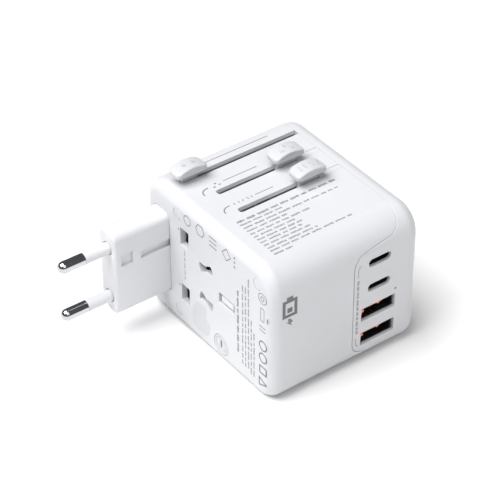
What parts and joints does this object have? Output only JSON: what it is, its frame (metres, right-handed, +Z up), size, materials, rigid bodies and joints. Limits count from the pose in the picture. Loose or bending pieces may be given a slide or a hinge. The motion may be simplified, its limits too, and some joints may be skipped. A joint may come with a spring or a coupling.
{
  "type": "universal travel adapter",
  "caption": "Box-shaped travel mains adapter with sliding retractable plugs on one face, a universal socket on the other and a column of USB charging ports.",
  "frame": {"origin": "centre of the flat underside of the body", "axes": "+X from the plug face to the socket face, +Y from the USB face to the back, +Z up through the slider face"},
  "size_m": [0.0957, 0.0668, 0.0562],
  "materials": {
    "shell": "satin white moulded polycarbonate",
    "knob": "fine matte light grey",
    "plug": "satin white",
    "inner": "dark moulded nylon",
    "steel": "polished nickel plate",
    "brass": "stamped and tumbled",
    "board": "solder-masked laminate",
    "port": "black moulded insulator",
    "copper": "drawn copper alloy",
    "glass": "clear glass tube",
    "ferrite": "sintered ferrite",
    "winding": "enamelled wire under tape",
    "can": "sleeved aluminium can",
    "light": "translucent light guide"
  },
  "bodies": {
    "body": {"main_housing": "shell", "socket_end_cap": "shell", "socket_insert": "shell", "screw_plug_1": "shell", "screw_plug_2": "shell", "screw_plug_3": "shell", "insulating_partition": "inner", "shutter_spring": "steel", "fuse_ferrule_outer": "steel", "fuse_ferrule_inner": "steel", "usb_c_shell_1": "steel", "usb_c_shell_2": "steel", "housing_screw_1": "steel", "housing_screw_2": "steel", "housing_screw_3": "steel", "line_contact": "brass", "neutral_contact": "brass", "earth_contact": "brass", "line_busbar": "brass", "neutral_busbar": "brass", "fuse_clip_outer": "brass", "fuse_clip_inner": "brass", "fuse_tube": "glass", "charger_board": "board", "usb_c_tongue_1": "port", "usb_c_tongue_2": "port", "usb_a_tongue_1": "port", "usb_a_tongue_2": "port", "usb_a_shell_1": "copper", "usb_a_shell_2": "copper", "status_light": "light", "transformer_core": "ferrite", "transformer_winding": "winding", "input_capacitor": "can", "output_capacitor": "can", "filter_capacitor": "can"},
    "eu_slider": {"eu_plug_block": "plug", "eu_pin_upper": "steel", "eu_pin_lower": "steel", "eu_sleeve_upper": "plug", "eu_sleeve_lower": "plug"},
    "eu_button": {"eu_knob": "knob"},
    "uk_slider": {"uk_carriage": "inner", "uk_line_pin": "steel", "uk_neutral_pin": "steel", "uk_earth_pin": "plug"},
    "uk_button": {"uk_knob": "knob"},
    "usau_slider": {"usau_carriage": "inner"},
    "usau_button": {"usau_knob": "knob"},
    "blade_upper": {"usau_hub_upper": "inner", "usau_blade_upper": "steel"},
    "blade_lower": {"usau_hub_lower": "inner", "usau_blade_lower": "steel"},
    "shutter": {"safety_shutter": "inner"},
    "fuse_cap": {"fuse_cap": "plug"}
  },
  "joints": [
    {"name": "eu_plug_slide", "type": "slide", "parent": "body", "child": "eu_slider", "axis": [1, 0, 0], "range_m": [0, 0.0389]},
    {"name": "eu_button_press", "type": "slide", "parent": "eu_slider", "child": "eu_button", "axis": [0, 0, -1], "range_m": [0, 0.0015], "stiffness_N_per_m": 400, "springref_m": -0.0012},
    {"name": "uk_plug_slide", "type": "slide", "parent": "body", "child": "uk_slider", "axis": [-1, 0, 0], "range_m": [0, 0.0224]},
    {"name": "uk_button_press", "type": "slide", "parent": "uk_slider", "child": "uk_button", "axis": [0, 0, -1], "range_m": [0, 0.0015], "stiffness_N_per_m": 400, "springref_m": -0.0012},
    {"name": "usau_plug_slide", "type": "slide", "parent": "body", "child": "usau_slider", "axis": [-1, 0, 0], "range_m": [0, 0.0224]},
    {"name": "usau_button_press", "type": "slide", "parent": "usau_slider", "child": "usau_button", "axis": [0, 0, -1], "range_m": [0, 0.0015], "stiffness_N_per_m": 400, "springref_m": -0.0012},
    {"name": "upper_blade_turn", "type": "hinge", "parent": "usau_slider", "child": "blade_upper", "pos_m": [0, 0.0007, 0.032], "axis": [-1, 0, 0], "range_deg": [0, 30]},
    {"name": "lower_blade_turn", "type": "hinge", "parent": "usau_slider", "child": "blade_lower", "pos_m": [0, 0.0007, 0.0193], "axis": [1, 0, 0], "range_deg": [0, 30]},
    {"name": "shutter_slide", "type": "slide", "parent": "body", "child": "shutter", "axis": [0, -1, 0], "range_m": [0, 0.0068], "stiffness_N_per_m": 60, "springref_m": -0.003, "deforming": ["shutter_spring"]},
    {"name": "fuse_cap_turn", "type": "hinge", "parent": "body", "child": "fuse_cap", "pos_m": [0, -0.0069, 0.0069], "axis": [-1, 0, 0], "range_deg": [0, 90]}
  ]
}
